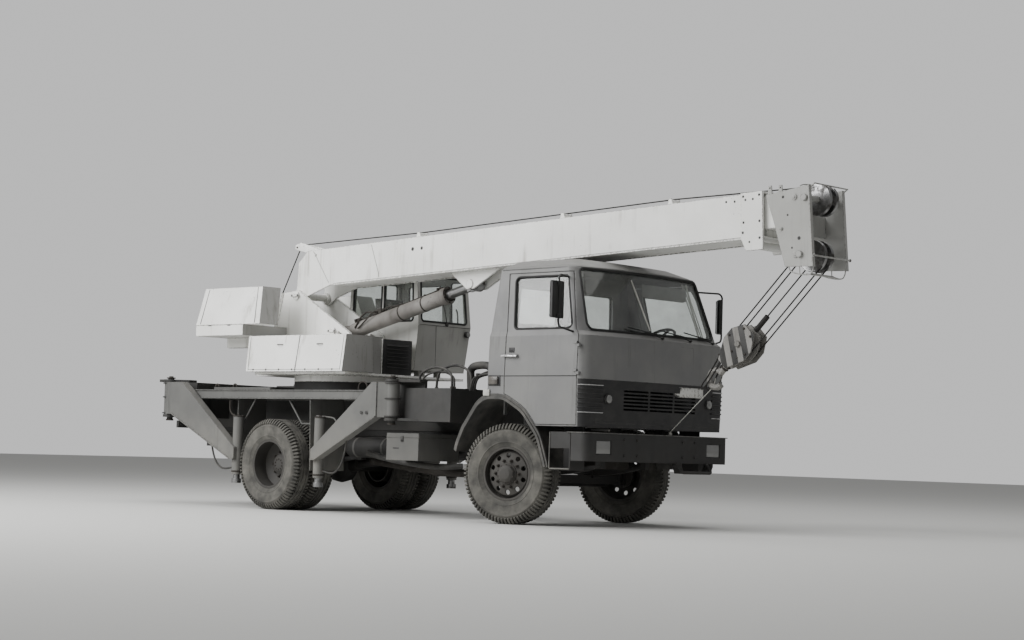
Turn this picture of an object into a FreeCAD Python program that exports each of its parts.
# Mobile crane: a two-axle truck that carries a slewing superstructure and a telescopic boom.
# Millimetres. +X points forward, +Y to the left, +Z up, and the ground is at Z = 0.
# All X values below count from the front axle. The last step moves the whole model so that
# the origin is under the middle of its overall length.
import FreeCAD, Part
import math
import os

# Wheels and axles
wheelbase = 3950
front_axle_x = -36
rear_axle_x = -wheelbase
tyre_r = 561
tyre_width = 310
tread_width = 224
bead_half = 110
rim_r = 290
rim_wall = 14
rim_lip = 14
front_wheel_y = 1016
kingpin_y = 855
kingpin_r = 22
steering_arm = 150
track_rod_z = 440
track_pin_r = 12
steer_now = 13.5
twin_outer_y = 1107
twin_inner_y = 757
vent_count = 10
vent_r = 27
vent_circle_r = 205
hub_r = 112
drum_r = 205

# Truck frame
rail_y = 385
rail_width = 80
rail_wall = 9
rail_low_z = 760
rail_top_z = 1020
rail_front_x = 1120
cross_member_xs = (-5900, -4900, -3300, -1500, 1060)

# Carrier of the superstructure
beam_top_z = 1374
front_beam_x0 = -1800
front_beam_x1 = -1030
rear_beam_x0 = -6250
rear_beam_x1 = -5750
deck_x0 = -5690
deck_x1 = -2320
deck_half = 1130
deck_top_z = 1490
deck_edge = 116
deck_skin = 8
deck_recess = 14
deck_lip = 14

# Outriggers: vertical pins at the ends of the two beams
fork_low_z = 1125
fork_plate = 35
fork_top_z = 1620
pin_y = deck_half - 30
front_pin_x = -1890
rear_pin_x = -6160
rear_end_x = -6330
beam_half = pin_y - 115
arm_pin_r = 40
arm_hub_r = 82
fork_nose_r = 92
arm_in_y = deck_half + 15
arm_out_y = arm_in_y + 105
arm_flange = 14
jack_y = arm_in_y + 5
front_jack_x = -3105
rear_jack_x = -4665
jack_top_z = 1144
jack_low_z = 415
jack_r = 66
jack_rod_r = 44
jack_foot_r = 62
jack_foot_z = 305
slide_gap = 0.3
pin_gap = 0.05

# Truck cab
cab_wall = 45
door_gap = 6
door_rear_share = 1.4
door_top_share = 2.2
door_sill_y = 1186
door_hinge_y = 1260
door_hinge_zs = (1660, 1960)
hinge_r = 6
hinge_length = 60
mirror_half = 95
mirror_turn = 43
mirror_reach_y = 1515
arch_wall = 12
arch_gap = 4
arch_round = 420
flare_width = 56
flare_in_y = 1225
flare_out_y = 1262
door_front_x = 1137
door_rear_x = 60
door_rear_lean = 98
door_low_z = 1112
door_top_z = 2800
belt_z = 2100
grille_top_z = 1615
grille_fields = (-430, 0, 430)
grille_field_half = 200
grille_slots = 6
grille_slot_pitch = 40
grille_slot_low_z = 1293
lamp_y = 961
lamp_half_y = 130
lamp_low_z = 804
lamp_top_z = 962
round_lamp_y = 880
round_lamp_z = 1408
round_lamp_r = 46
bumper_front_x = 1300
bumper_side_x = 1080
bumper_low_z = 730
bumper_top_z = 1039
bumper_wall = 18
bumper_half = 1250
step_x0 = 765
step_x1 = 1062
step_low_z = 625
step_in_y = 1000
step_out_y = 1238
step_sheet = 12

# Slewing superstructure
slew_x = -3790
slew_r = 755
slew_ring_wall = 120
base_top_z = 1610
ring_height = 80
turntable_top_z = 1720
casing_top_z = 2180
tower_in_y = 262
tower_plate = 38
tower_rear_x = -5020
tower_flange = 40
weight_rear_x = -5700
weight_front_x = -4740
weight_low_z = 2190
weight_top_z = 2331
winch_x = -5330
winch_z = 2560
winch_drum_r = 150
winch_half = 420
winch_shaft_r = 30

# Boom, in its own frame: u runs forward and h up from a point on its underside's line, before the boom is tilted
boom_x = -4450
boom_z = 2870
foot_pin_u = -175
foot_pin_h = -113
foot_pin_r = 45
foot_plate = 22
boom_tilt = 2.38
boom_half = 250
boom_wall = 10
boom_u0 = 480
boom_u1 = 7290
boom_low_h = -11
boom_top_h = 465
collar_u0 = 7006
collar_low_h = -147
inner_u0 = 560
inner_u1 = 7480
inner_half = 205
inner_low_h = boom_low_h + 86
inner_top_h = boom_top_h - 41
inner_wall = 9
head_half = 300
head_plate = 16
top_pin_u = inner_u1 + 380
top_pin_h = inner_top_h - 80
low_pin_u = top_pin_u - 71
low_pin_h = top_pin_h - 590
sheave_r = 150
sheave_flange = 18
sheave_width = 44
rope_r = 8
lift_pin_u = 2816
lift_pin_h = -167
lift_pin_r = 40
lift_pin_half = 84

# Lift cylinder
lift_low_x = -3880
lift_low_z = 2274
lift_foot_r = 38
barrel_r = 95
barrel_length = 1835
rod_r = 58

# Hook block, in its own frame: it hangs straight down from the head's lower pin before it is tied back
tied_back = 45
block_pin_drop = 1290
block_half = 120


def vec(x, y, z):
    return FreeCAD.Vector(x, y, z)


def block(x0, x1, y0, y1, z0, z1):
    return Part.makeBox(x1 - x0, y1 - y0, z1 - z0, vec(x0, y0, z0))


def wire_through(points, radius=0):
    """A closed wire through the points, with each corner rounded by an arc where a radius is given."""
    if radius == 0:
        return Part.makePolygon(points + [points[0]])
    count = len(points)
    starts, ends, mids = [], [], []
    for i, corner in enumerate(points):
        back = points[i - 1] - corner
        ahead = points[(i + 1) % count] - corner
        reach = 0.45 * min(back.Length, ahead.Length)
        back.normalize()
        ahead.normalize()
        half = back.getAngle(ahead) / 2
        cut = min(radius / math.tan(half), reach)
        bend = cut * math.tan(half)
        inward = back + ahead
        inward.normalize()
        starts.append(corner + back * cut)
        ends.append(corner + ahead * cut)
        mids.append(corner + inward * (bend / math.sin(half) - bend))
    edges = []
    for i in range(count):
        edges.append(Part.Arc(starts[i], mids[i], ends[i]).toShape())
        edges.append(Part.LineSegment(ends[i], starts[(i + 1) % count]).toShape())
    return Part.Wire(edges)


def side_plate(outline, y0, y1, radius=0):
    """A plate with its outline given as (x, z), reaching from y0 to y1."""
    wire = wire_through([vec(x, y0, z) for x, z in outline], radius)
    return Part.Face(wire).extrude(vec(0, y1 - y0, 0))


def floor_plate(outline, z0, z1, radius=0):
    """A plate with its outline given as (x, y), reaching from z0 to z1."""
    wire = wire_through([vec(x, y, z0) for x, y in outline], radius)
    return Part.Face(wire).extrude(vec(0, 0, z1 - z0))


def front_plate(outline, x0, x1, radius=0):
    """A plate with its outline given as (y, z), reaching from x0 to x1."""
    wire = wire_through([vec(x0, y, z) for y, z in outline], radius)
    return Part.Face(wire).extrude(vec(x1 - x0, 0, 0))


def round_bar(start, end, radius):
    along = end - start
    return Part.makeCylinder(radius, along.Length, start, along)


def upright(x, y, z0, z1, radius):
    return Part.makeCylinder(radius, z1 - z0, vec(x, y, z0), vec(0, 0, 1))


def crosswise(x, y0, y1, z, radius):
    return Part.makeCylinder(radius, y1 - y0, vec(x, y0, z), vec(0, 1, 0))


def pipe(points, radius, bend):
    """A round pipe along straight runs joined by tangent arcs."""
    edges = []
    at = points[0]
    for i in range(1, len(points) - 1):
        corner = points[i]
        back = points[i - 1] - corner
        ahead = points[i + 1] - corner
        back.normalize()
        ahead.normalize()
        half = back.getAngle(ahead) / 2
        cut = bend / math.tan(half)
        inward = back + ahead
        inward.normalize()
        start = corner + back * cut
        end = corner + ahead * cut
        mid = corner + inward * (bend / math.sin(half) - bend)
        edges.append(Part.LineSegment(at, start).toShape())
        edges.append(Part.Arc(start, mid, end).toShape())
        at = end
    edges.append(Part.LineSegment(at, points[-1]).toShape())
    path = Part.Wire(edges)
    ring = Part.Wire([Part.makeCircle(radius, points[0], points[1] - points[0])])
    return path.makePipeShell([ring], True, False)


def inset_points(points, inset):
    """The corners of a convex outline, given clockwise, with every side moved inwards."""
    count = len(points)
    moved_in = []
    for i in range(count):
        before, corner, after = points[i - 1], points[i], points[(i + 1) % count]
        lines = []
        for p, q in ((before, corner), (corner, after)):
            length = math.hypot(q[0] - p[0], q[1] - p[1])
            nx, nz = (q[1] - p[1]) / length, -(q[0] - p[0]) / length
            lines.append((nx, nz, nx * p[0] + nz * p[1] + inset))
        (a, b, e), (c, d, f) = lines
        det = a * d - b * c
        moved_in.append(((e * d - b * f) / det, (a * f - e * c) / det))
    return moved_in


def fused(shapes):
    whole = shapes[0].multiFuse(shapes[1:]) if len(shapes) > 1 else shapes[0]
    return whole.removeSplitter()


def mirrored(shape):
    return shape.mirror(vec(0, 0, 0), vec(0, 1, 0))


def both_sides(shape):
    return fused([shape, mirrored(shape)])


def together(shapes):
    """Separate solids that share a node."""
    return Part.makeCompound(shapes)


def moved(shape, x, y, z):
    copy = shape.copy()
    copy.translate(vec(x, y, z))
    return copy


def turned(shape, about, axis, degrees):
    copy = shape.copy()
    copy.rotate(about, axis, degrees)
    return copy


def revolved(outline):
    """A ring or disc turned about Y, from an outline of (radius, y) points."""
    wire = wire_through([vec(0, y, r) for r, y in outline])
    return Part.Face(wire).revolve(vec(0, 0, 0), vec(0, 1, 0), 360)


# Wheels: built about Y at the origin, with the outer side towards -Y

def tyre():
    """Tyre profile in straight runs: bead, lower and upper sidewall, shoulder and tread."""
    half = tyre_width / 2
    side = [(rim_r, bead_half), (rim_r + rim_lip + 2, bead_half), (rim_r + 80, half - 6), (rim_r + 150, half),
            (tyre_r - 38, half - 16), (tyre_r, tread_width / 2)]
    return revolved([(r, -y) for r, y in side] + [(r, y) for r, y in reversed(side)])


def rim_barrel():
    outer = rim_r - slide_gap
    inner = outer - rim_wall
    edge = bead_half + 10
    lip = rim_r + rim_lip
    near = bead_half + slide_gap
    return revolved([(inner, -edge), (lip, -edge), (lip, -near), (outer, -near),
                     (outer, near), (lip, near), (lip, edge), (inner, edge)])


def front_rim():
    """Rim, vented disc that bulges outwards, hub and its cap."""
    seat = rim_r - rim_wall / 2
    disc = revolved([(seat, -20), (seat, -2), (235, -62), (120, -92), (60, -92),
                     (60, -106), (125, -106), (240, -76)])
    for i in range(vent_count):
        turn = 2 * math.pi * i / vent_count
        x = vent_circle_r * math.sin(turn)
        z = vent_circle_r * math.cos(turn)
        disc = disc.cut(crosswise(x, -120, 0, z, vent_r))
    hub = revolved([(40, 60), (150, 60), (150, 20), (120, -20), (120, -118), (hub_r, -118),
                    (hub_r - 20, -150), (60, -168), (0, -172), (0, -60), (40, -60)])
    return fused([rim_barrel(), disc, hub])


def rear_rims():
    """Both rims of a twin wheel with the disc between them, hub and brake drum."""
    gap = twin_outer_y - twin_inner_y
    seat = rim_r - rim_wall / 2
    outer = rim_barrel()
    inner = moved(rim_barrel(), 0, gap, 0)
    disc = revolved([(seat, 60), (seat, 78), (190, 128), (100, 128), (100, 112), (185, 112)])
    spacer = revolved([(seat - 6, 110), (seat + 6, 110), (seat + 6, gap - 110), (seat - 6, gap - 110)])
    hub = revolved([(0, 40), (80, 40), (125, 66), (138, 100), (138, 200), (drum_r, 215),
                    (drum_r, gap + 130), (drum_r - 20, gap + 130), (drum_r - 20, 235), (60, 235), (60, 60), (0, 60)])
    return fused([outer, inner, disc, spacer, hub])


def on_steered_side(shape, side):
    """Mirror a wheel's outer side as needed, set it on its kingpin and turn it as it is steered now."""
    if side > 0:
        shape = mirrored(shape)
    placed = moved(shape, front_axle_x, side * front_wheel_y, tyre_r)
    return turned(placed, vec(front_axle_x, side * kingpin_y, 0), vec(0, 0, 1), steer_now)


def on_rear_side(shape, side):
    """Set a twin wheel so that its outer tyre is on the given side."""
    if side > 0:
        shape = mirrored(shape)
    return moved(shape, rear_axle_x, side * twin_outer_y, tyre_r)


def knuckle(side):
    """Fork round the axle's end boss, kingpin, the stub that the wheel turns on and the steering arm."""
    y = side * kingpin_y
    pin = upright(front_axle_x, y, tyre_r - 130, tyre_r + 130, kingpin_r)
    arms = [upright(front_axle_x, y, tyre_r - 118, tyre_r - 68, 52), upright(front_axle_x, y, tyre_r + 68, tyre_r + 118, 52)]
    plate_y = sorted((y + side * 62, y + side * 92))
    back = block(front_axle_x - 62, front_axle_x + 62, plate_y[0], plate_y[1], tyre_r - 118, tyre_r + 118)
    webs = []
    for low in (tyre_r - 118, tyre_r + 68):
        ys = sorted((y, y + side * 70))
        webs.append(block(front_axle_x - 45, front_axle_x + 45, ys[0], ys[1], low, low + 50))
    ys = sorted((y + side * 92, side * (front_wheel_y + 55)))
    stub = crosswise(front_axle_x, ys[0], ys[1], tyre_r, 40 - pin_gap)
    lever = block(front_axle_x - steering_arm - 20, front_axle_x, y - 22, y + 22, track_rod_z + 20, track_rod_z + 46)
    ball = upright(front_axle_x - steering_arm, y, track_rod_z - 22, track_rod_z + 30, track_pin_r)
    whole = fused([pin, back, stub, lever, ball] + arms + webs)
    return turned(whole, vec(front_axle_x, y, 0), vec(0, 0, 1), steer_now)


def axle_front():
    """Forged beam with a boss for each kingpin, leaf springs and the hangers that hold them to the rails."""
    beam_end = kingpin_y - 75
    beam = block(front_axle_x - 50, front_axle_x + 50, -beam_end, beam_end, 460, 560)
    shapes = [beam]
    for side in (-1, 1):
        boss = upright(front_axle_x, side * kingpin_y, tyre_r - 68 + 1, tyre_r + 68 - 1, 50)
        ys = sorted((side * 620, side * kingpin_y))
        shapes += [boss, block(front_axle_x - 40, front_axle_x + 40, ys[0], ys[1], 500, 600)]
        shapes += leaf_spring(front_axle_x, side * 385, 820, 560, rail_low_z)
    whole = fused(shapes)
    for side in (-1, 1):
        whole = whole.cut(upright(front_axle_x, side * kingpin_y, 300, 800, kingpin_r + pin_gap))
    return whole


def leaf_spring(x, y, reach, low_z, rail_z):
    """A stack of leaves as one arc, its clamp on the axle, and a hanger at each end."""
    half = 42
    pack = 75
    ends_z = rail_z - 70
    low = Part.Arc(vec(x - reach, y, ends_z - 20), vec(x, y, low_z), vec(x + reach, y, ends_z - 20)).toShape()
    top = Part.Arc(vec(x + reach, y, ends_z), vec(x, y, low_z + pack), vec(x - reach, y, ends_z)).toShape()
    sides = [Part.LineSegment(vec(x + reach, y, ends_z - 20), vec(x + reach, y, ends_z)).toShape(),
             Part.LineSegment(vec(x - reach, y, ends_z), vec(x - reach, y, ends_z - 20)).toShape()]
    face = Part.Face(Part.Wire([low, sides[0], top, sides[1]]))
    leaves = moved(face, 0, -half, 0).extrude(vec(0, 2 * half, 0))
    clamp = block(x - 75, x + 75, y - half - 12, y + half + 12, low_z - 30, low_z + pack + 22)
    hangers = []
    for end in (-1, 1):
        at = x + end * (reach - 22)
        hangers.append(block(at - 40, at + 40, y - half + 4, y + half - 4, ends_z - 45, rail_z))
    return [leaves, clamp] + hangers


def axle_rear():
    """Round axle case with its final drive, springs and the drive shaft from the gearbox."""
    x = rear_axle_x
    case_end = twin_inner_y - 60
    spindle_end = twin_outer_y - 62
    shapes = [crosswise(x, -case_end, case_end, tyre_r, 68), crosswise(x, -spindle_end, spindle_end, tyre_r, 60 - pin_gap)]
    drive_case = revolved([(0, -190), (110, -190), (195, -95), (215, 0), (195, 95), (110, 190), (0, 190)])
    shapes.append(moved(drive_case, x, 0, tyre_r))
    shapes.append(round_bar(vec(x + 150, 0, tyre_r), vec(x + 330, 0, tyre_r + 25), 80))
    shapes.append(round_bar(vec(x + 300, 0, tyre_r + 20), vec(-1245, 0, 790), 45))
    for side in (-1, 1):
        shapes += leaf_spring(x, side * rail_y, 800, tyre_r + 40, rail_low_z)
    return fused(shapes)


def frame_rails():
    """Two channels that open inwards, with tubes across between them."""
    shapes = []
    for side in (-1, 1):
        outer = sorted((side * (rail_y - rail_width / 2), side * (rail_y + rail_width / 2)))
        web = side * (rail_y + rail_width / 2 - rail_wall)
        hollow = sorted((side * (rail_y - rail_width), web))
        rail = block(rear_end_x + 120, rail_front_x, outer[0], outer[1], rail_low_z, rail_top_z)
        void = block(rear_end_x, rail_front_x + 50, hollow[0], hollow[1], rail_low_z + rail_wall, rail_top_z - rail_wall)
        shapes.append(rail.cut(void))
    inner = rail_y + rail_width / 2 - rail_wall / 2
    middle = (rail_low_z + rail_top_z) / 2
    for x in cross_member_xs:
        shapes.append(crosswise(x, -inner, inner, middle + 40, 55))
    for x in (-140, 980):
        for side in (-1, 1):
            ys = sorted((side * (rail_y - 35), side * (rail_y + 35)))
            shapes.append(block(x - 50, x + 50, ys[0], ys[1], rail_top_z, cab_sections[0][0] - slide_gap))
    return fused(shapes)


def engine():
    """Engine and gearbox as plain blocks at their real place and size."""
    body = floor_plate([(-560, -300), (620, -300), (620, 300), (-560, 300)], 640, 1070, 40)
    gearbox = floor_plate([(-1240, -170), (-560, -240), (-560, 240), (-1240, 170)], 660, 1000)
    reach = rail_y + rail_width / 2 - rail_wall - slide_gap
    mounts = block(300, 380, -reach, reach, 800, 860)
    pipe_y = -220
    exhaust = pipe([vec(-300, pipe_y, 645), vec(-420, pipe_y, 530), vec(-1950, pipe_y, 530), vec(-3150, pipe_y, 640)], 48, 160)
    return fused([body, gearbox, mounts, exhaust])


def front_bumper():
    """Pressed bumper with rounded ends, lamp recesses and the loop step under its left half, and the cab's two steps."""
    front, half, wall = bumper_front_x, bumper_half, bumper_wall
    outline = [(bumper_side_x - 100, -half), (front, -half), (front, half), (bumper_side_x - 100, half)]
    inner = [(bumper_side_x - 140, wall - half), (front - wall, wall - half),
             (front - wall, half - wall), (bumper_side_x - 140, half - wall)]
    shell = floor_plate(outline, bumper_low_z, bumper_top_z, 90)
    shell = shell.cut(floor_plate(inner, bumper_low_z - 30, bumper_top_z - wall, 75))
    shell = shell.cut(block(bumper_side_x - 150, bumper_side_x, -half - 50, half + 50, 700, 1100))
    shell = shell.cut(block(bumper_side_x - 10, front - 60, -half + 25, half - 25, bumper_top_z - wall - 4, bumper_top_z + 10))
    for y in (-lamp_y, lamp_y):
        shell = shell.cut(block(front - 70, front + 20, y - lamp_half_y, y + lamp_half_y, lamp_low_z, lamp_top_z))
    low, top = bumper_low_z + 90, bumper_top_z - 79
    bracket = block(rail_front_x, front - wall + 1, -rail_y - 35, rail_y + 35, low, top)
    bracket = bracket.cut(block(rail_front_x - 20, front, -rail_y + 35, rail_y - 35, 700, 1100))
    hold_x, out_x = front - 11, front + 72
    hold_z, low_z = bumper_low_z + 6, bumper_low_z - 100
    loop = pipe([vec(hold_x, 300, hold_z), vec(out_x, 300, low_z), vec(out_x, 850, low_z), vec(hold_x, 850, hold_z)], 18, 45)
    return together([fused([shell, bracket, loop]), cab_step(1), cab_step(-1)])


def cab_step(side):
    """Step under the door: a closed box with the upper tread on it, an open foot space and the lower tread."""
    floor_z = cab_sections[0][0]
    out_y = step_out_y
    box_z = floor_z - 60

    def across(x0, x1, near, far, z0, z1):
        ys = sorted((side * near, side * far))
        return block(x0, x1, ys[0], ys[1], z0, z1)
    back = across(step_x0, step_x1, step_in_y, step_in_y + step_sheet, step_low_z, floor_z)
    end = across(step_x1 - step_sheet, step_x1, step_in_y, out_y, step_low_z, box_z)
    treads = [across(step_x0, step_x1, step_in_y, out_y, step_low_z, step_low_z + 25),
              across(step_x0, step_x1, step_in_y, out_y, box_z - step_sheet, box_z)]
    riser = across(step_x0, step_x1, out_y - step_sheet, out_y, step_low_z + 235, box_z)
    return fused([back, end, riser] + treads)


def headlamps():
    """Lamp inserts that close the bumper's two recesses, and the round lamps on the front panel."""
    lamps = []
    gap = slide_gap
    for y in (-lamp_y, lamp_y):
        lamps.append(block(bumper_front_x - 92, bumper_front_x - 11, y - lamp_half_y + gap, y + lamp_half_y - gap,
                           lamp_low_z + gap, lamp_top_z - gap))
        at = vec(1225, math.copysign(round_lamp_y, y), round_lamp_z)
        lamps.append(Part.makeCylinder(round_lamp_r, 68, at, vec(1, 0, 0)))
    return together(lamps)


# Truck cab: plan sections from the floor to the roof, each with columns
# (z, rear x, x where the side starts to round, corner x, corner y, nose x, half width)
cab_sections = (
    (1100, -190, 1120, 1240, 1105, 1298, 1238),
    (1640, -190, 1130, 1252, 1110, 1308, 1250),
    (2090, -190, 1120, 1230, 1095, 1290, 1236),
    (2140, -188, 1060, 1160, 1060, 1225, 1215),
    (2845, -172, 840, 928, 955, 1000, 1095),
    (2880, -160, 780, 865, 915, 935, 1050),
    (2960, -90, 600, 690, 760, 760, 850),
    (3000, 40, 380, 450, 470, 500, 520),
)


def cab_section(row, inset, faceted=False):
    z, rear, side_x, corner_x, corner_y, nose, half = row
    rear += inset
    corner_x -= inset
    nose -= inset
    half -= inset
    corner_y -= inset
    a = vec(rear, -half, z)
    b = vec(side_x, -half, z)
    c = vec(corner_x, -corner_y, z)
    bend = vec(side_x + 0.68 * (corner_x - side_x), -(corner_y + 0.70 * (half - corner_y)), z)
    flip = [vec(p.x, -p.y, z) for p in (a, b, c, bend)]
    if faceted:
        return wire_through([a, b, bend, c, vec(nose, 0, z), flip[2], flip[3], flip[1], flip[0]])
    return Part.Wire([
        Part.LineSegment(a, b).toShape(),
        Part.Arc(b, bend, c).toShape(),
        Part.Arc(c, vec(nose, 0, z), flip[2]).toShape(),
        Part.Arc(flip[2], flip[3], flip[1]).toShape(),
        Part.LineSegment(flip[1], flip[0]).toShape(),
        Part.LineSegment(flip[0], a).toShape(),
    ])


def cab_solid(inset, faceted=False):
    rows = []
    last = len(cab_sections) - 1
    for i, row in enumerate(cab_sections):
        z = row[0]
        if i == 0:
            z += inset
        if i == last:
            z -= inset
        rows.append((z,) + row[1:])
    return Part.makeLoft([cab_section(row, inset, faceted) for row in rows], True, True)


# Outer edge of the flared arch as (x, z), clockwise from its rear end; the wheel stands behind and below it
arch_line = ((-700, 836), (-585, 1075), (-300, 1446), (70, 1446), (380, 1285), (625, 1005), (756, 654), (756, 400), (-700, 400))


def arch_space(inset, near_y, far_y, side):
    """The space under the arch on one side, with its edge moved inwards by the inset."""
    ys = sorted((side * near_y, side * far_y))
    points = inset_points(arch_line, inset)
    return side_plate(points, ys[0], ys[1], arch_round - inset)


def wheel_wells(inset):
    """The space that the cab leaves for the front wheels."""
    return [arch_space(inset, 640, 1400, side) for side in (-1, 1)]


def cab_shell_whole():
    """The cab's walls before doors and panels are split off."""
    outer = cab_solid(0)
    inner = cab_solid(cab_wall, True)
    liner_out = flare_width - arch_wall - arch_gap
    for well in wheel_wells(liner_out - cab_wall):
        inner = inner.cut(well)
    shell = outer.cut(inner)
    for well in wheel_wells(liner_out):
        shell = shell.cut(well)
    for side in (-1, 1):
        shell = shell.cut(arch_space(-slide_gap, flare_in_y - slide_gap, 1400, side))
    return shell


def windscreen_opening():
    outline = [(-1105, 2152), (1105, 2152), (1010, 2836), (-1010, 2836)]
    return front_plate(outline, 700, 1400, 70)


def rear_window_openings():
    one = front_plate([(150, 2250), (820, 2250), (800, 2680), (150, 2680)], -260, -60, 50)
    return [one, mirrored(one)]


def door_outline(gap):
    """Door edge as (x, z): upright at the front up to the belt, then along the raked pillar."""
    rear = door_rear_x + gap * door_rear_share
    top_rear = door_rear_x - door_rear_lean + gap * door_top_share
    return [(door_front_x - gap, door_low_z + gap), (door_front_x - gap, belt_z - 10), (1078 - gap, belt_z + 52),
            (905 - gap, door_top_z - gap), (top_rear, door_top_z - gap), (rear, belt_z), (rear, door_low_z + gap)]


def door_space(side, gap):
    ys = sorted((side * 900, side * 1300))
    shape = side_plate(door_outline(gap), ys[0], ys[1])
    floor = sorted((side * 880, side * (door_sill_y + gap)))
    shape = shape.cut(block(-200, 1300, floor[0], floor[1], 1000, cab_sections[0][0] + cab_wall + 10))
    return shape.cut(arch_space(-6 - gap, 800, 1400, side))


def door_window(side):
    ys = sorted((side * 900, side * 1300))
    return side_plate([(160, 2165), (1022, 2165), (856, 2752), (72, 2752)], ys[0], ys[1], 55)


def grille_space(gap):
    return block(1150 + gap, 1400, -1300, 1300, 1090, grille_top_z - gap)


def cab_parts():
    """Split the cab's walls into shell, doors, grille and glass."""
    whole = cab_shell_whole()
    shell = whole
    for side in (-1, 1):
        shell = shell.cut(door_space(side, 0))
    shell = shell.cut(grille_space(0)).cut(windscreen_opening())
    for opening in rear_window_openings():
        shell = shell.cut(opening)
    pane_layer = cab_solid(16).cut(cab_solid(22))
    panes = [pane_layer.common(windscreen_opening())]
    for opening in rear_window_openings():
        panes.append(pane_layer.common(opening))
    doors = {}
    for side, name in ((-1, "right"), (1, "left")):
        door = whole.common(door_space(side, door_gap))
        window = door_window(side)
        doors["door_" + name + "_glass"] = pane_layer.common(window)
        doors["door_" + name] = door.cut(window)
    for side, name in ((-1, "right"), (1, "left")):
        body_half, door_half = hinge_knuckles(door_front_x - door_gap / 2, side * door_hinge_y, side * 1243, door_hinge_zs)
        shell = fused([shell] + body_half)
        doors["door_" + name] = fused([doors["door_" + name]] + door_half)
    grille = whole.common(grille_space(slide_gap))
    for y in grille_fields:
        for i in range(grille_slots):
            low = grille_slot_low_z + i * grille_slot_pitch
            slot = block(1220, 1400, y - grille_field_half, y + grille_field_half, low, low + 0.55 * grille_slot_pitch)
            grille = grille.cut(slot)
    for side in (-1, 1):
        at = vec(1200, side * round_lamp_y, round_lamp_z)
        grille = grille.cut(Part.makeCylinder(round_lamp_r + slide_gap, 200, at, vec(1, 0, 0)))
    return shell, together(panes), grille, doors


def hinge_knuckles(axis_x, axis_y, surface_y, heights):
    """Stacked hinge halves at each height: the lower one for the body ahead of the axis, the upper one for the door."""
    body_half, door_half = [], []
    side = 1 if axis_y > 0 else -1
    ys = sorted((surface_y - side * 12, axis_y + side * hinge_r))
    for z in heights:
        split = z + hinge_length / 2
        body_half.append(upright(axis_x, axis_y, z, split, hinge_r))
        body_half.append(block(axis_x + 3, axis_x + 40, ys[0], ys[1], z, split))
        body_half.append(block(axis_x, axis_x + 4, axis_y - hinge_r, axis_y + hinge_r, z, split))
        door_half.append(upright(axis_x, axis_y, split + slide_gap, z + hinge_length, hinge_r))
        door_half.append(block(axis_x - 40, axis_x - 3, ys[0], ys[1], split + slide_gap, z + hinge_length))
        door_half.append(block(axis_x - 4, axis_x, axis_y - hinge_r, axis_y + hinge_r, split + slide_gap, z + hinge_length))
    return body_half, door_half


def door_handle(side):
    ys = sorted((side * 1240, side * 1268))
    grip = block(140, 260, ys[0], ys[1], 1850, 1880)
    return grip


def mirror(side):
    """Mirror head on a bow that is fixed to the door's frame. The left head is turned half back on its bow."""
    turn = 0 if side < 0 else mirror_turn
    angle = math.radians(turn)
    corner = 18
    reach = (mirror_half - corner) * math.cos(angle) - corner * math.sin(angle) + corner
    y = side * (mirror_reach_y - reach)
    bow_x = 1000
    outline = [(bow_x - 50, y - mirror_half), (bow_x, y - mirror_half), (bow_x, y + mirror_half), (bow_x - 50, y + mirror_half)]
    head = turned(floor_plate(outline, 2260, 2660, corner), vec(bow_x, y, 0), vec(0, 0, 1), turn)
    low_y = side * 1180
    bow = pipe([vec(835, side * 1060, 2735), vec(bow_x, y, 2735), vec(bow_x, y, 2170), vec(1050, low_y, 2115)], 11, 60)
    return fused([head, bow.cut(cab_solid(0))])


def front_arches():
    """Liner over each front wheel, with a flare of two bands: a wide one and the lip that stands out from it."""
    shapes = []
    for side in (-1, 1):
        inside = arch_space(flare_width, 600, 1400, side)
        ys = sorted((side * 600, side * 1400))
        ends = side_plate([(-760, 836), (0, tyre_r), (560, 654), (800, 654), (800, 1500), (-760, 1500)], ys[0], ys[1])
        cover = arch_space(flare_width - arch_wall, 700, flare_in_y + 10, side)
        band = arch_space(0, flare_in_y, flare_out_y - 14, side)
        lip = arch_space(flare_width - 30, flare_in_y, flare_out_y, side)
        shapes.append(fused([cover, band, lip]).cut(inside).common(ends))
    return together(shapes)


def cab_seats():
    shapes = []
    for y in (-620, 0, 620):
        cushion = block(80, 600, y - 250, y + 250, 1480, 1620)
        back = side_plate([(80, 1640), (190, 1640), (110, 2250), (0, 2250)], y - 240, y + 240)
        base = block(130, 560, y - 200, y + 200, cab_sections[0][0] + cab_wall, 1490)
        for well in wheel_wells(flare_width - arch_wall - arch_gap - cab_wall):
            base = base.cut(well)
        shapes.append(fused([cushion, back, base, block(80, 190, y - 200, y + 200, 1600, 1660)]))
    return together(shapes)


def dashboard():
    """Dash panel with the steering column and its wheel on the left."""
    panel = side_plate([(1020, 1700), (1300, 1700), (1300, 2120), (930, 2120), (900, 2000)], -1130, 1130)
    panel = panel.common(cab_solid(cab_wall + slide_gap, True))
    section = [(235 + 16 * math.cos(math.radians(60 * i)), 16 * math.sin(math.radians(60 * i))) for i in range(6)]
    base = turned(revolved(section), vec(0, 0, 0), vec(1, 0, 0), 90)
    hub = Part.makeCylinder(45, 60, vec(0, 0, -50), vec(0, 0, 1))
    spokes = [block(-235, 235, -14, 14, -8, 8), block(-14, 14, -235, 0, -8, 8)]
    column = Part.makeCylinder(28, 560, vec(0, 0, -600), vec(0, 0, 1))
    wheel = fused([base, hub, column] + spokes)
    wheel.rotate(vec(0, 0, 0), vec(0, 1, 0), -35)
    wheel.translate(vec(700, 620, 2130))
    return fused([panel, wheel])


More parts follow.
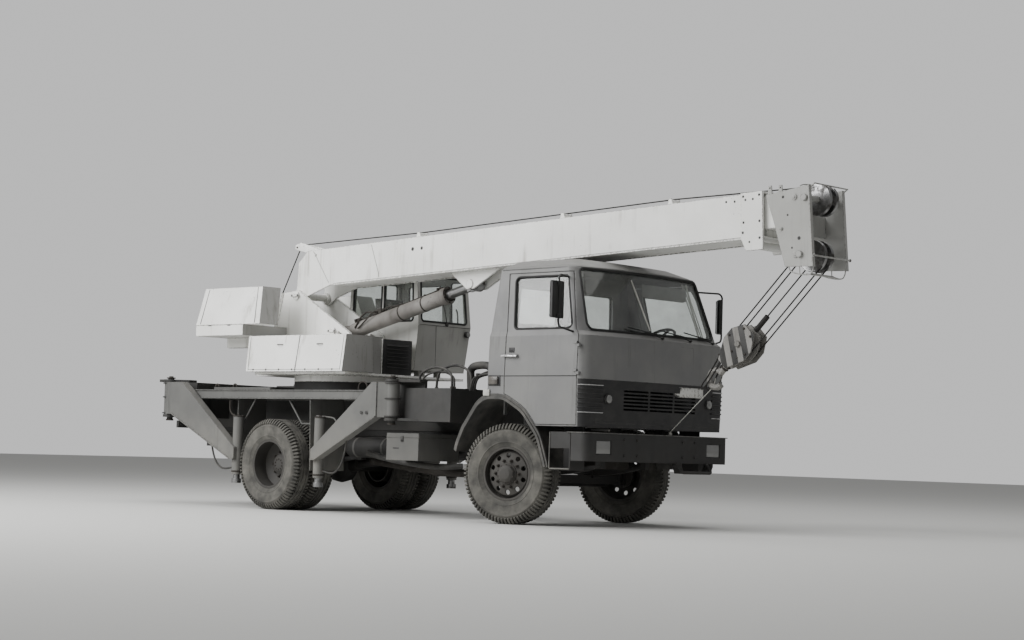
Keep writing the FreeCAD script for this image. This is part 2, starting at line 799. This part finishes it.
def outrigger_beams():
    """Carrier under the deck: two box beams along the frame, and a cross beam with forks at each end."""
    shapes = []
    for side in (-1, 1):
        ys = sorted((side * (rail_y - 50), side * (rail_y + 50)))
        shapes.append(block(rear_beam_x0, front_beam_x1, ys[0], ys[1], rail_top_z, beam_top_z))
    shapes.append(block(front_beam_x0, front_beam_x1, -beam_half, beam_half, fork_low_z, fork_top_z - 100))
    shapes.append(block(rear_beam_x0, rear_beam_x1, -beam_half, beam_half, fork_low_z, fork_top_z - 35))
    for pin_x, inner_x in ((front_pin_x, front_beam_x0 + 250), (rear_pin_x, rear_beam_x0 + 330)):
        nose = fork_nose_r
        for low in (fork_low_z, fork_top_z - fork_plate):
            for side in (-1, 1):
                outline = [(pin_x - nose, side * 860), (inner_x, side * 860), (inner_x, side * beam_half),
                           (pin_x + nose, side * pin_y), (pin_x - nose, side * pin_y)]
                shapes.append(floor_plate(outline, low, low + fork_plate))
                shapes.append(upright(pin_x, side * pin_y, low, low + fork_plate, nose))
        for side in (-1, 1):
            ys = sorted((side * 860, side * 900))
            shapes.append(block(pin_x - nose, inner_x, ys[0], ys[1], fork_low_z, fork_top_z))
            shapes.append(upright(pin_x, side * pin_y, fork_low_z - 25, fork_top_z + 12, arm_pin_r))
    for side in (-1, 1):
        ys = sorted((side * 860, side * (pin_y + 60)))
        shapes.append(block(rear_end_x, rear_pin_x, ys[0], ys[1], fork_top_z - fork_plate, fork_top_z))
    return fused(shapes)


def deck():
    """Deck with a folded edge all round, open from below, and the mud panels that hang from it."""
    outer = block(deck_x0, deck_x1, -deck_half, deck_half, deck_top_z - deck_edge, deck_top_z)
    web = deck_half - deck_recess
    for side in (-1, 1):
        ys = sorted((side * web, side * (deck_half + 1)))
        outer = outer.cut(block(deck_x0 - 1, deck_x1 + 1, ys[0], ys[1], deck_top_z - deck_edge + deck_lip,
                                deck_top_z - deck_lip))
    void = block(deck_x0 + deck_skin, deck_x1 - deck_skin, -web + deck_skin, web - deck_skin,
                 deck_top_z - deck_edge - 1, deck_top_z - deck_skin)
    shapes = [outer.cut(void)]
    for side in (-1, 1):
        ys = sorted((side * 330, side * 440))
        shapes.append(block(deck_x0 + 4, deck_x1 - 4, ys[0], ys[1], beam_top_z, deck_top_z - 4))
        rear = sorted((side * 560, side * 1020))
        front = sorted((side * 560, side * (web - 3)))
        shapes.append(block(-4850, -4838, rear[0], rear[1], 690, deck_top_z - 4))
        shapes.append(side_plate([(-3352, 1400), (-3340, 1400), (-3300, 500), (-3312, 500)], front[0], front[1]))
        shapes.append(block(-3352, -3340, front[0], front[1], 1390, deck_top_z - 4))
    return fused(shapes)


def side_boxes():
    """Tool box on the right, fuel tank on the left, each hung from the frame."""
    box = block(-1910, -1370, -1150, -480, 665, 985)
    straps = block(-1700, -1580, -485, -rail_y - rail_width / 2, 800, 960)
    tank = side_plate([(-2050, 560), (-1250, 560), (-1250, 985), (-2050, 985)], 480, 1120, 90)
    tank_straps = block(-1720, -1580, rail_y + rail_width / 2, 485, 800, 960)
    return together([fused([box, straps]), fused([tank, tank_straps])])


def slew_base():
    """Fixed ring that the superstructure turns on."""
    outer = upright(slew_x, 0, deck_top_z, base_top_z, slew_r)
    return outer.cut(upright(slew_x, 0, deck_top_z - 5, base_top_z + 5, slew_r - 120))


def slew_frame():
    """Turning ring and plate, the two tower plates that carry the boom's foot and the lift cylinder, and the tail beams."""
    ring_low = base_top_z + slide_gap
    ring = upright(slew_x, 0, ring_low, ring_low + ring_height, slew_r)
    ring = ring.cut(upright(slew_x, 0, ring_low - 5, ring_low + ring_height - 5, slew_r - slew_ring_wall))
    plate_line = [(tower_rear_x, -600), (-4620, -600), (-4620, -950), (-2900, -950), (-2900, 1100), (-4860, 950),
                  (tower_rear_x, 600)]
    plate = floor_plate(plate_line, ring_low + ring_height, turntable_top_z)
    pin_x, pin_z = at_boom(foot_pin_u, foot_pin_h)
    outline = [(pin_x - 266, pin_z + 42), (pin_x + 20, pin_z + 72), (lift_low_x + 306, lift_low_z - 22),
               (lift_low_x + 360, lift_low_z - 130), (lift_low_x + 360, turntable_top_z), (tower_rear_x, turntable_top_z),
               (tower_rear_x, 2277)]
    shapes = [ring, plate]
    out_y = tower_in_y + tower_plate
    for side in (-1, 1):
        ys = sorted((side * tower_in_y, side * out_y))
        tower = side_plate(outline, ys[0], ys[1])
        slot_x, slot_z = lift_low_x + 150, lift_low_z - 30
        shapes.append(tower.cut(side_plate([(slot_x - 60, slot_z - 6), (slot_x + 60, slot_z - 66), (slot_x + 60, slot_z - 26),
                                            (slot_x - 60, slot_z + 34)], ys[0] - 1, ys[1] + 1, 18)))
        ys = sorted((side * (out_y - 1), side * (out_y + tower_flange)))
        rear_top = (pin_x - 266, pin_z + 42)
        shapes.append(side_plate([rear_top, (rear_top[0] + 14, rear_top[1]), (tower_rear_x + 14, 2277),
                                  (tower_rear_x + 14, turntable_top_z), (tower_rear_x, turntable_top_z),
                                  (tower_rear_x, 2277)], ys[0], ys[1]))
    shapes.append(block(-4890, -4850, -out_y, out_y, turntable_top_z, 2330))
    shapes.append(block(-4100, -4060, -out_y + 5, out_y - 5, turntable_top_z, 2100))
    shapes.append(crosswise(pin_x, -out_y - 12, out_y + 12, pin_z, foot_pin_r))
    shapes.append(crosswise(lift_low_x, -out_y, out_y, lift_low_z, lift_foot_r))
    for side in (-1, 1):
        ys = sorted((side * 500, side * 600))
        shapes.append(block(weight_rear_x + 60, -4940, ys[0], ys[1], 2060, weight_low_z))
    shapes.append(block(-4990, -4900, -600, 600, turntable_top_z, weight_low_z))
    return fused(shapes)


def leaning_box(low, top, z0, z1):
    """A box with straight sides between two plan rectangles, each given as (x0, x1, y0, y1)."""
    wires = []
    for (x0, x1, y0, y1), z in ((low, z0), (top, z1)):
        wires.append(wire_through([vec(x0, y0, z), vec(x1, y0, z), vec(x1, y1, z), vec(x0, y1, z)]))
    return Part.makeLoft(wires, True, True)


def casings():
    """Sheet casings round the drive: right side with a seam, centre front and left rear."""
    low_z, top_z = turntable_top_z, casing_top_z
    inner = tower_in_y + tower_plate + 1
    seam_x, step_y, step_x = -3700, 560, -2950
    rear = leaning_box((-4643, seam_x - 3, -1085, -inner), (-4700, seam_x - 3, -1000, -inner), low_z, top_z)
    front = leaning_box((seam_x + 3, -2818, -1085, -step_y), (seam_x + 3, -2847, -1000, -step_y), low_z, top_z)
    front_inner = block(seam_x + 3, step_x, -step_y - 1, -inner, low_z, top_z)
    joint = leaning_box((seam_x - 10, seam_x + 10, -1070, -inner), (seam_x - 10, seam_x + 10, -985, -inner), low_z, top_z - 8)
    centre = block(-3440, step_x + 20, -inner - 10, 190, low_z, top_z - 20)
    left = leaning_box((-4850, -4330, inner, 1085), (-4850, -4330, inner, 1000), low_z, top_z)
    left = left.cut(block(tower_rear_x, -4330 + 1, inner - 1, inner + tower_flange + 2, low_z - 1, top_z + 1))
    right = fused([rear, joint, front, front_inner, centre])
    right = right.cut(block(tower_rear_x, tower_rear_x + 20, -inner - tower_flange - 2, -inner + 1, low_z - 1, top_z + 1))
    return together([right, left])


def counterweight():
    """Weight slab with a tapered casing on each side, and the winch's two bearing plates between them."""
    slab = block(weight_rear_x, weight_front_x, -1080, 1080, weight_low_z, weight_top_z)
    notch = tower_in_y + tower_plate + tower_flange + 5
    shapes = [slab.cut(block(tower_rear_x - 5, weight_front_x + 1, -notch, notch, weight_low_z - 1, weight_top_z + 1))]
    for side in (-1, 1):
        low = sorted((side * 790, side * 1090))
        top = sorted((side * 655, side * 950))
        shapes.append(leaning_box((weight_rear_x + 10, -4400, low[0], low[1]), (weight_rear_x + 10, -4525, top[0], top[1]),
                                  weight_top_z - 1, 2820))
        ys = sorted((side * (winch_half + 4), side * (winch_half + 34)))
        cheek = side_plate([(winch_x - 230, weight_top_z - 2), (winch_x + 230, weight_top_z - 2), (winch_x + 90, winch_z + 90),
                            (winch_x - 90, winch_z + 90)], ys[0], ys[1])
        shapes.append(cheek.cut(crosswise(winch_x, -900, 900, winch_z, winch_shaft_r + pin_gap)))
    return fused(shapes)


def winch_drum():
    """Hoist drum with its flanges and shaft."""
    def across(half, radius):
        return crosswise(winch_x, -half, half, winch_z, radius)
    flanges = across(winch_half, winch_drum_r + 55).cut(across(winch_half - 20, winch_drum_r + 60))
    return fused([across(winch_half - 5, winch_drum_r), flanges, across(winch_half + 60, winch_shaft_r)])


# Operator's cab: plan corners at three heights, with columns (z, rear x, front x, right y, left y)
operator_rows = (
    (1800, -4230, -3010, 312, 1215),
    (2390, -4250, -2940, 304, 1250),
    (3080, -4235, -3000, 312, 1215),
)
operator_wall = 35
operator_hinge_y = 1258


def operator_solid(inset):
    wires = []
    last = len(operator_rows) - 1
    for i, (z, rear, front, right, left) in enumerate(operator_rows):
        lift = inset if i == 0 else (-inset if i == last else 0)
        points = [vec(rear + inset, right + inset, z + lift), vec(front - inset, right + inset, z + lift),
                  vec(front - inset, left - inset, z + lift), vec(rear + inset, left - inset, z + lift)]
        wires.append(wire_through(points))
    return Part.makeLoft(wires, True, True)


def operator_parts():
    """Split the operator's cab into shell, glass, door and the door's glass."""
    whole = operator_solid(0).cut(operator_solid(operator_wall))
    pane_layer = operator_solid(12).cut(operator_solid(18))
    front = front_plate([(360, 2430), (1175, 2430), (1150, 3010), (370, 3010)], -3200, -2800, 40)
    rear = front_plate([(380, 2430), (1155, 2430), (1140, 2980), (390, 2980)], -4300, -4150, 40)
    right_a = side_plate([(-4180, 2430), (-3640, 2430), (-3640, 2990), (-4170, 2990)], 200, 420, 40)
    right_b = side_plate([(-3590, 2430), (-3040, 2430), (-3070, 2990), (-3590, 2990)], 200, 420, 40)
    left_b = side_plate([(-3290, 2430), (-3030, 2430), (-3060, 2990), (-3290, 2990)], 1100, 1300, 40)
    door_space_out = side_plate([(-4160, 1860), (-3360, 1860), (-3360, 3020), (-4150, 3020)], 1100, 1300, 30)
    door_space_in = side_plate([(-4155, 1865), (-3365, 1865), (-3365, 3015), (-4145, 3015)], 1100, 1300, 26)
    door_pane = side_plate([(-4090, 2430), (-3430, 2430), (-3430, 2960), (-4085, 2960)], 1100, 1300, 40)
    shell = whole
    panes = []
    for opening in (front, rear, right_a, right_b, left_b):
        shell = shell.cut(opening)
        panes.append(pane_layer.common(opening))
    shell = shell.cut(door_space_out)
    feet = [block(-4150, -4050, 500, 600, turntable_top_z, 1802), block(-3200, -3100, 500, 600, turntable_top_z, 1802),
            block(-4150, -4050, 850, 880, turntable_top_z, 1802), block(-3200, -3100, 850, 880, turntable_top_z, 1802)]
    shell = fused([shell] + feet)
    door = whole.common(door_space_in).cut(door_pane)
    glass = pane_layer.common(door_pane)
    body_half, door_half = hinge_knuckles(-3362.5, operator_hinge_y, 1236, (2050, 2620))
    shell = fused([shell] + body_half)
    door = fused([door] + door_half)
    return shell, together(panes), door, glass


def operator_seat():
    """Seat and lever console."""
    seat = fused([block(-3950, -3500, 560, 1000, 2150, 2260), side_plate([(-3990, 2180), (-3900, 2180), (-3960, 2760), (-4050, 2760)], 570, 990),
                  block(-3850, -3600, 680, 880, 1835, 2160)])
    console = block(-3260, -3080, 560, 1000, 1835, 2240)
    levers = [upright(-3170, y, 2235, 2400, 9) for y in (620, 700, 860, 940)]
    return together([seat, fused([console] + levers)])


def in_boom_frame(shape):
    """Set a piece drawn with u along X and h along Z in its place and tilt it up."""
    placed = moved(shape, boom_x, 0, boom_z)
    return turned(placed, vec(boom_x, 0, boom_z), vec(0, 1, 0), -boom_tilt)


def at_boom(u, h):
    """The place of a boom point in the model."""
    t = math.radians(boom_tilt)
    return boom_x + u * math.cos(t) - h * math.sin(t), boom_z + u * math.sin(t) + h * math.cos(t)


def foot_side(side):
    """One side of the foot, which narrows down to the pin, with its boss."""
    ys = sorted((side * boom_half, side * (boom_half - foot_plate)))
    u, h = foot_pin_u, foot_pin_h
    outline = [(-26, boom_top_h - 6), (boom_u0 + 60, boom_top_h), (boom_u0 + 60, boom_low_h), (420, boom_low_h), (-7, -124),
               (u + 50, h - 86), (u - 50, h - 78), (u - 88, h - 10), (-227, -4), (-192, 323)]
    boss = sorted((side * (boom_half - 60), side * (boom_half + 6)))
    return [side_plate(outline, ys[0], ys[1]), crosswise(u, boss[0], boss[1], h, foot_pin_r + 28)]


def rope_guide(u):
    """Bracket on the boom's top: a foot plate and two ears with a roller between them."""
    low = boom_top_h - 4
    shapes = [block(u - 55, u + 55, -85, 85, low, low + 14), crosswise(u, -66, 66, low + 74, 17)]
    for y in (-74, 60):
        shapes.append(side_plate([(u - 45, low + 10), (u + 45, low + 10), (u + 20, low + 98), (u - 20, low + 98)], y, y + 14))
    return shapes


def boom_outer():
    """Root section: closed box with lips, fork plates at the foot, collar at the front, bracket for the cylinder."""
    tube = block(boom_u0, boom_u1, -boom_half, boom_half, boom_low_h, boom_top_h)
    bore = block(boom_u0 + 40, boom_u1 + 5, -boom_half + boom_wall, boom_half - boom_wall, boom_low_h + boom_wall,
                 boom_top_h - boom_wall)
    shapes = [tube.cut(bore)]
    for side in (-1, 1):
        shapes += foot_side(side)
        lip = sorted((side * (boom_half - 20), side * (boom_half + 12)))
        shapes.append(block(boom_u0, collar_u0, lip[0], lip[1], boom_low_h - 8, boom_low_h + 4))
        ears = [(lift_pin_u - 330, boom_low_h + 2), (lift_pin_u + 520, boom_low_h + 2), (lift_pin_u + 60, lift_pin_h - 60),
                (lift_pin_u - 60, lift_pin_h - 60)]
        ys = sorted((side * 90, side * 120))
        shapes.append(side_plate(ears, ys[0], ys[1]))
        ys = sorted((side * (boom_half - 14), side * (boom_half + 14)))
        shapes.append(side_plate([(collar_u0, boom_top_h + 14), (boom_u1, boom_top_h + 14), (boom_u1, collar_low_h),
                                  (collar_u0 + 60, collar_low_h), (collar_u0, boom_low_h - 8)], ys[0], ys[1]))
        ys = sorted((side * 118, side * 134))
        shapes.append(crosswise(lift_pin_u, ys[0], ys[1], lift_pin_h, lift_pin_r + 14))
    shapes.append(block(-26, boom_u0 + 60, -boom_half, boom_half, boom_top_h - 16, boom_top_h))
    shapes.append(block(collar_u0, boom_u1, -boom_half, boom_half, boom_top_h, boom_top_h + 14))
    shapes.append(crosswise(boom_u1 - 110, -boom_half, boom_half, collar_low_h + 55, 45))
    for u in (1870, 4280, 5890):
        shapes += rope_guide(u)
    shapes.append(block(boom_u1 - 160, boom_u1 - 20, -160, 160, boom_low_h + boom_wall - 2, inner_low_h - slide_gap))
    shapes.append(block(boom_u1 - 160, boom_u1 - 20, -160, 160, inner_top_h + slide_gap, boom_top_h - boom_wall + 2))
    whole = fused(shapes)
    return in_boom_frame(whole.cut(crosswise(foot_pin_u, -300, 300, foot_pin_h, foot_pin_r + pin_gap)))


def boom_inner():
    """Telescoping section: a smaller box with wear pads at its rear."""
    tube = block(inner_u0, inner_u1, -inner_half, inner_half, inner_low_h, inner_top_h)
    bore = block(inner_u0 - 5, inner_u1 + 5, -inner_half + inner_wall, inner_half - inner_wall, inner_low_h + inner_wall,
                 inner_top_h - inner_wall)
    shapes = [tube.cut(bore)]
    low = boom_low_h + boom_wall + slide_gap
    top = boom_top_h - boom_wall - slide_gap
    shapes.append(block(inner_u0, inner_u0 + 120, -160, 160, low, inner_low_h + 2))
    shapes.append(block(inner_u0, inner_u0 + 120, -160, 160, inner_top_h - 2, top))
    return in_boom_frame(fused(shapes))


def boom_head():
    """Two head plates on the inner section with flanged front edges and the pins between them."""
    front_top = (top_pin_u + 72, top_pin_h + 128)
    front_low = (top_pin_u + 110, low_pin_h - 141)
    outline = [(inner_u1 - 116, inner_top_h - 5), front_top, front_low, (low_pin_u - 192, low_pin_h - 115),
               (inner_u1 - 7, inner_low_h + 10)]
    shapes = []
    for side in (-1, 1):
        ys = sorted((side * (head_half - head_plate), side * head_half))
        shapes.append(side_plate(outline, ys[0], ys[1]))
        ys = sorted((side * (head_half - 5), side * (head_half + 28)))
        flange = [(front_top[0] - 14, front_top[1]), front_top, front_low, (front_low[0] - 14, front_low[1])]
        shapes.append(side_plate(flange, ys[0], ys[1]))
    half = head_half - 2
    shapes.append(block(inner_u1, inner_u1 + 14, -half, half, inner_low_h, inner_top_h))
    shapes.append(crosswise(top_pin_u, -half - 30, half + 30, top_pin_h, 35))
    shapes.append(crosswise(low_pin_u, -half - 30, half + 30, low_pin_h, 35))
    shapes.append(block(low_pin_u - 89, low_pin_u - 77, -half, half, low_pin_h + 226, top_pin_h - 144))
    return in_boom_frame(fused(shapes))


def sheave(u, h, y):
    groove = sheave_r
    rim = sheave_r + sheave_flange
    half = sheave_width / 2
    ring = revolved([(35 + pin_gap, -half), (rim, -half), (groove, -5), (groove, 5), (rim, half), (35 + pin_gap, half)])
    return moved(ring, u, y, h)


def head_sheaves(u, h):
    """Two rope sheaves on one of the head's pins."""
    return in_boom_frame(together([sheave(u, h, y) for y in (-60, 60)]))


def lift_angle():
    """Cylinder's length and its angle above level at rest."""
    x, z = at_boom(lift_pin_u, lift_pin_h)
    return math.hypot(x - lift_low_x, z - lift_low_z), math.degrees(math.atan2(z - lift_low_z, x - lift_low_x))


def along_cylinder(shape):
    """Lay a piece drawn along X from the lower pin at the cylinder's angle."""
    placed = moved(shape, lift_low_x, 0, lift_low_z)
    return turned(placed, vec(lift_low_x, 0, lift_low_z), vec(0, 1, 0), -lift_angle()[1])


def lift_barrel():
    barrel = Part.makeCylinder(barrel_r, barrel_length - 90, vec(90, 0, 0), vec(1, 0, 0))
    gland = Part.makeCylinder(barrel_r + 14, 90, vec(barrel_length - 90, 0, 0), vec(1, 0, 0))
    eye = crosswise(0, -60, 60, 0, 85)
    neck = block(0, 130, -60, 60, -70, 70)
    bore = Part.makeCylinder(rod_r + slide_gap, barrel_length, vec(180, 0, 0), vec(1, 0, 0))
    whole = fused([barrel, gland, eye, neck]).cut(bore)
    whole = whole.cut(crosswise(0, -100, 100, 0, 38 + pin_gap))
    return along_cylinder(whole)


def lift_rod():
    """Rod with its eye and pin. The bracket's plates on the boom stand clear on both sides, so the eye can drift there."""
    length = lift_angle()[0]
    rod = Part.makeCylinder(rod_r, length - 260, vec(200, 0, 0), vec(1, 0, 0))
    eye = crosswise(length, -60, 60, 0, 85)
    neck = block(length - 130, length, -50, 50, -60, 60)
    pin = crosswise(length, -lift_pin_half, lift_pin_half, 0, lift_pin_r)
    return along_cylinder(fused([rod, eye, neck, pin]))


def tied_hook(shape):
    """Hang a piece drawn below the origin from the head's lower pin and swing it back to where it is tied."""
    x, z = at_boom(low_pin_u, low_pin_h)
    placed = moved(shape, x, 0, z)
    return turned(placed, vec(x, 0, z), vec(0, 1, 0), tied_back)


def hook_block():
    """Cheek plates round two sheaves, the swivel head and the hook."""
    top = -block_pin_drop
    cheek = [(-90, top + 210), (90, top + 210), (185, top + 60), (185, top - 80), (70, top - 300), (-70, top - 300),
             (-185, top - 80), (-185, top + 60)]
    shapes = []
    for y in (-block_half, 0 - 8, block_half - 16):
        shapes.append(side_plate(cheek, y, y + 16))
    shapes.append(crosswise(0, -block_half - 20, block_half + 20, top, 32))
    shapes.append(crosswise(0, -block_half, block_half, top - 255, 30))
    for y in (-60, 60):
        shapes.append(crosswise(0, y - 22, y + 22, top, sheave_r))
    shapes.append(upright(0, 0, top - 440, top - 200, 34))
    round_line = [(95 + 34 * math.cos(math.radians(45 * i + 22.5)), 34 * math.sin(math.radians(45 * i + 22.5)))
                  for i in range(8)]
    ring = moved(revolved(round_line), 0, 0, top - 520)
    shapes.append(ring.cut(block(20, 220, -60, 60, top - 520, top - 380)))
    return tied_hook(fused(shapes))


def hoist_falls():
    """Rope falls between the head's lower sheaves and the block's sheaves, and the dead end's socket."""
    reach = sheave_r + rope_r + slide_gap
    falls = []
    for x, y in ((-reach, -60), (reach, -60), (-reach, 60), (reach, 60)):
        falls.append(upright(x, y, -block_pin_drop, 0, rope_r))
    socket_low = -block_pin_drop + 210 + slide_gap
    dead = upright(0, 0, socket_low + 200, -40, rope_r)
    socket = upright(0, 0, socket_low, socket_low + 210, 30)
    return tied_hook(together(falls + [fused([dead, socket])]))


def outrigger_arm(end, side):
    """Tapered arm from its hub down to the jack. end is front or rear, side is -1 on the right."""
    if end == "front":
        pin_x, jack_x, way = front_pin_x, front_jack_x, -1
        top_start, low_start, drop_top, drop_low = 200, 125, 762, 632
    else:
        pin_x, jack_x, way = rear_pin_x, rear_jack_x, 1
        top_start, low_start, drop_top, drop_low = 430, 230, 752, 605
    low = fork_low_z + fork_plate + 3
    top = fork_top_z - fork_plate - 3
    end_x = jack_x + way * 45
    outline = [(pin_x + way * 120, top), (pin_x + way * top_start, top), (end_x, drop_top), (end_x, drop_low), (end_x - way * 80, drop_low),
               (pin_x + way * low_start, low), (pin_x + way * 120, low)]
    ys = sorted((side * arm_in_y, side * arm_out_y))
    body = side_plate(outline, ys[0], ys[1])
    edge = sorted((side * (arm_out_y - 1), side * (arm_out_y + arm_flange)))
    start_x, end_low_x = pin_x + way * low_start, end_x - way * 80
    flange = side_plate([(start_x, low), (end_low_x, drop_low), (end_x, drop_low), (end_x, drop_low + 14),
                         (end_low_x, drop_low + 14), (start_x, low + 14)], edge[0], edge[1])
    hub = upright(pin_x, side * pin_y, low, top, arm_hub_r)
    root = floor_plate([(pin_x, side * (pin_y - 60)), (pin_x + way * 150, side * arm_in_y), (pin_x + way * 150, side * arm_out_y),
                        (pin_x, side * (pin_y + 82))], low, top)
    jack = upright(jack_x, side * jack_y, jack_low_z, jack_top_z, jack_r)
    whole = fused([body, flange, hub, root, jack])
    whole = whole.cut(upright(pin_x, side * pin_y, low - 5, top + 5, arm_pin_r + pin_gap))
    return whole.cut(upright(jack_x, side * jack_y, jack_low_z - 5, jack_top_z - 20, jack_rod_r + slide_gap))


def jack_rod(end, side):
    jack_x = front_jack_x if end == "front" else rear_jack_x
    rod = upright(jack_x, side * jack_y, jack_foot_z + 20, jack_top_z - 60, jack_rod_r)
    foot = upright(jack_x, side * jack_y, jack_foot_z, jack_foot_z + 55, jack_foot_r)
    return fused([rod, foot])


def tie_rod():
    """Track rod behind the axle that makes both wheels steer together, with an eye on each steering arm's pin."""
    turn = math.radians(steer_now)
    x = front_axle_x - steering_arm * math.cos(turn)
    shift = -steering_arm * math.sin(turn)
    ends = (shift - kingpin_y, shift + kingpin_y)
    rod = crosswise(x, ends[0], ends[1], track_rod_z, 16)
    eyes = [upright(x, y, track_rod_z - 16, track_rod_z + 15, 28) for y in ends]
    whole = fused([rod] + eyes)
    for y in ends:
        whole = whole.cut(upright(x, y, track_rod_z - 30, track_rod_z + 30, track_pin_r + pin_gap))
    return whole


def build():
    shell, glass, grille, doors = cab_parts()
    op_shell, op_glass, op_door, op_door_glass = operator_parts()
    nodes = {
        "frame_rails": frame_rails(),
        "axle_front": axle_front(),
        "axle_rear": axle_rear(),
        "engine": engine(),
        "front_bumper": front_bumper(),
        "headlamps": headlamps(),
        "cab_shell": shell,
        "cab_glass": glass,
        "grille": grille,
        "cab_seats": cab_seats(),
        "dashboard": dashboard(),
        "front_arches": front_arches(),
        "deck": deck(),
        "outrigger_beams": outrigger_beams(),
        "side_boxes": side_boxes(),
        "slew_base": slew_base(),
        "slew_frame": slew_frame(),
        "casings": casings(),
        "counterweight": counterweight(),
        "winch_drum": winch_drum(),
        "tie_rod": tie_rod(),
        "operator_cab": op_shell,
        "operator_glass": op_glass,
        "operator_seat": operator_seat(),
        "operator_door": op_door,
        "operator_door_glass": op_door_glass,
        "boom_outer": boom_outer(),
        "boom_inner": boom_inner(),
        "boom_head": boom_head(),
        "sheaves_top": head_sheaves(top_pin_u, top_pin_h),
        "sheaves_low": head_sheaves(low_pin_u, low_pin_h),
        "lift_barrel": lift_barrel(),
        "lift_rod": lift_rod(),
        "hook_block": hook_block(),
        "hoist_falls": hoist_falls(),
    }
    for side, name in ((-1, "right"), (1, "left")):
        nodes["door_" + name] = fused([doors["door_" + name], door_handle(side)])
        nodes["door_" + name + "_glass"] = doors["door_" + name + "_glass"]
        nodes["mirror_" + name] = mirror(side)
        nodes["knuckle_" + name] = knuckle(side)
        nodes["tyre_front_" + name] = on_steered_side(tyre(), side)
        nodes["rim_front_" + name] = on_steered_side(front_rim(), side)
        gap = twin_outer_y - twin_inner_y
        nodes["tyres_rear_" + name] = on_rear_side(together([tyre(), moved(tyre(), 0, gap, 0)]), side)
        nodes["rims_rear_" + name] = on_rear_side(rear_rims(), side)
        for end in ("front", "rear"):
            nodes["arm_" + end + "_" + name] = outrigger_arm(end, side)
            nodes["jack_" + end + "_" + name] = jack_rod(end, side)
    return nodes


os.makedirs("parts", exist_ok=True)
nose_end_x = at_boom(top_pin_u, top_pin_h)[0] + sheave_r + sheave_flange
middle_x = (rear_end_x + nose_end_x) / 2
for name, shape in build().items():
    placed = moved(shape, -middle_x, 0, 0)
    placed.exportStep("parts/" + name + ".step")
    size = placed.BoundBox
    print(name, len(placed.Solids), placed.isValid(), [round(v) for v in (size.XMin, size.XMax, size.YMin, size.YMax, size.ZMin, size.ZMax)])
